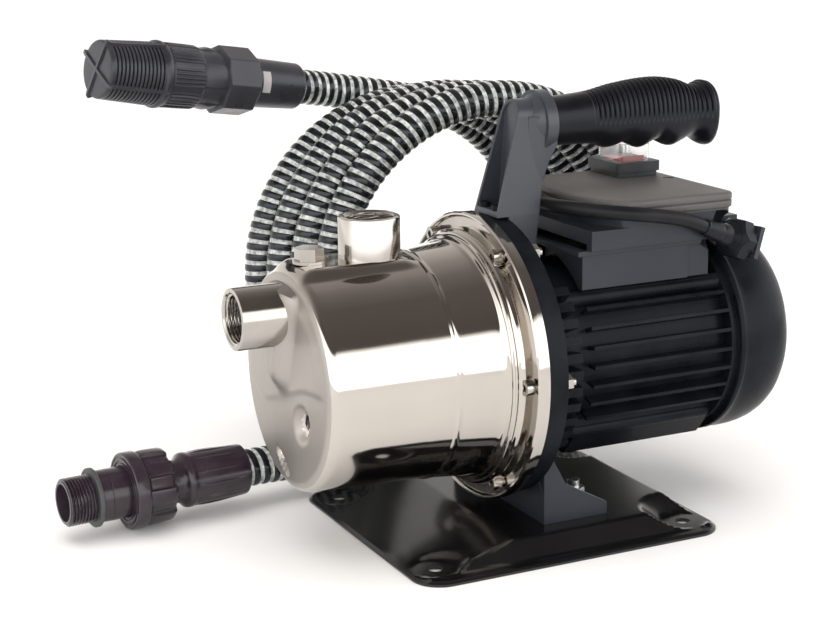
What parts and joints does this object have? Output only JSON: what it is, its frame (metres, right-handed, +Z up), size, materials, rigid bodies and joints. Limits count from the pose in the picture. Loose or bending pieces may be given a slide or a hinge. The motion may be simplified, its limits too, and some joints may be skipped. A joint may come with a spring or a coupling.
{
  "type": "shallow well jet pump",
  "caption": "Shallow well jet pump: stainless casing on a finned electric motor, pressed foot, carry handle with switch box, mains lead and wire-wound suction hose with strainer.",
  "frame": {"origin": "centre of the base plate's underside, on the floor", "axes": "+X along the shaft from the suction port to the fan, +Y to the far side, where the hose coil stands, +Z up"},
  "size_m": [0.5114, 0.4859, 0.3289],
  "materials": {
    "painted_black": "gloss",
    "moulded_black": "satin",
    "cast_black": "painted black, satin",
    "screw_black": "satin",
    "zinc": "satin",
    "stainless": "polished",
    "bearing_steel": "ground",
    "lamination": "stamped",
    "copper": "enamelled",
    "ceramic": "polished",
    "rubber_black": "matte",
    "rubber_grey": "matte",
    "grip_rubber": "soft, ribbed",
    "cable_rubber": "matte",
    "moulded_inner": "moulded",
    "moulded_grey": "moulded",
    "moulded_lid": "fine texture",
    "rocker_red": "gloss",
    "clear_cover": "clear",
    "hose_pvc": "clear with a black helix",
    "coupling_plastic": "satin",
    "strainer_plastic": "satin"
  },
  "bodies": {
    "pump": {"base_plate": "painted_black", "foot_bracket": "moulded_black", "foot_bolts": "zinc", "pump_casing": "stainless", "suction_socket": "stainless", "discharge_socket": "stainless", "filler_plug": "stainless", "filler_washer": "rubber_black", "flange_screws": "screw_black", "casing_o_ring": "rubber_black", "ejector_nozzle": "moulded_inner", "venturi_tube": "moulded_inner", "diffuser": "moulded_inner", "seal_plate": "stainless", "seal_seat": "ceramic", "motor_adapter": "cast_black", "front_bearing": "bearing_steel", "rear_bearing": "bearing_steel", "wave_washer": "bearing_steel", "stator_core": "lamination", "stator_windings": "copper", "motor_housing": "cast_black", "rear_end_shield": "cast_black", "fan_cover": "moulded_black", "tie_rods": "zinc", "terminal_box": "moulded_black", "terminal_box_lid": "moulded_lid", "lid_gasket": "rubber_black", "lid_screw": "screw_black", "capacitor": "moulded_grey", "terminal_block": "moulded_grey", "switch_body": "moulded_grey", "switch_cover": "clear_cover", "gland_body": "moulded_black", "gland_nut": "moulded_black", "power_cable": "cable_rubber", "power_cable_coil": "cable_rubber", "cable_tie": "moulded_black", "power_plug": "cable_rubber", "handle_post": "moulded_black", "handle_grip": "grip_rubber", "handle_screws": "screw_black", "hose_coil": "hose_pvc", "hose_lower": "hose_pvc", "hose_upper": "hose_pvc", "coupling_body": "coupling_plastic", "thread_seal": "rubber_grey", "coupling_tail": "coupling_plastic", "foot_valve_body": "strainer_plastic", "valve_spring": "bearing_steel", "strainer_basket": "strainer_plastic"},
    "rotor": {"motor_shaft": "bearing_steel", "rotor_core": "lamination", "impeller": "moulded_inner", "seal_head": "rubber_black", "cooling_fan": "moulded_inner"},
    "rocker": {"switch_rocker": "rocker_red"},
    "union_nut": {"coupling_nut": "coupling_plastic"},
    "poppet": {"valve_poppet": "strainer_plastic"}
  },
  "joints": [
    {"name": "rotor_spin", "type": "hinge", "parent": "pump", "child": "rotor", "pos_m": [0, 0, 0.119], "axis": [1, 0, 0], "continuous": true},
    {"name": "switch_rock", "type": "hinge", "parent": "pump", "child": "rocker", "pos_m": [0.1185, 0.0415, 0.233], "axis": [1, 0, 0], "range_deg": [0, 14]},
    {"name": "union_nut_turn", "type": "hinge", "parent": "pump", "child": "union_nut", "pos_m": [-0.2934, 0.0901, 0.0275], "axis": [0.9961, 0.088, 0], "continuous": true},
    {"name": "valve_lift", "type": "slide", "parent": "pump", "child": "poppet", "axis": [0.9651, 0.2139, -0.1513], "range_m": [0, 0.006], "stiffness_N_per_m": 30, "springref_m": -0.004, "deforming": ["valve_spring"]}
  ]
}
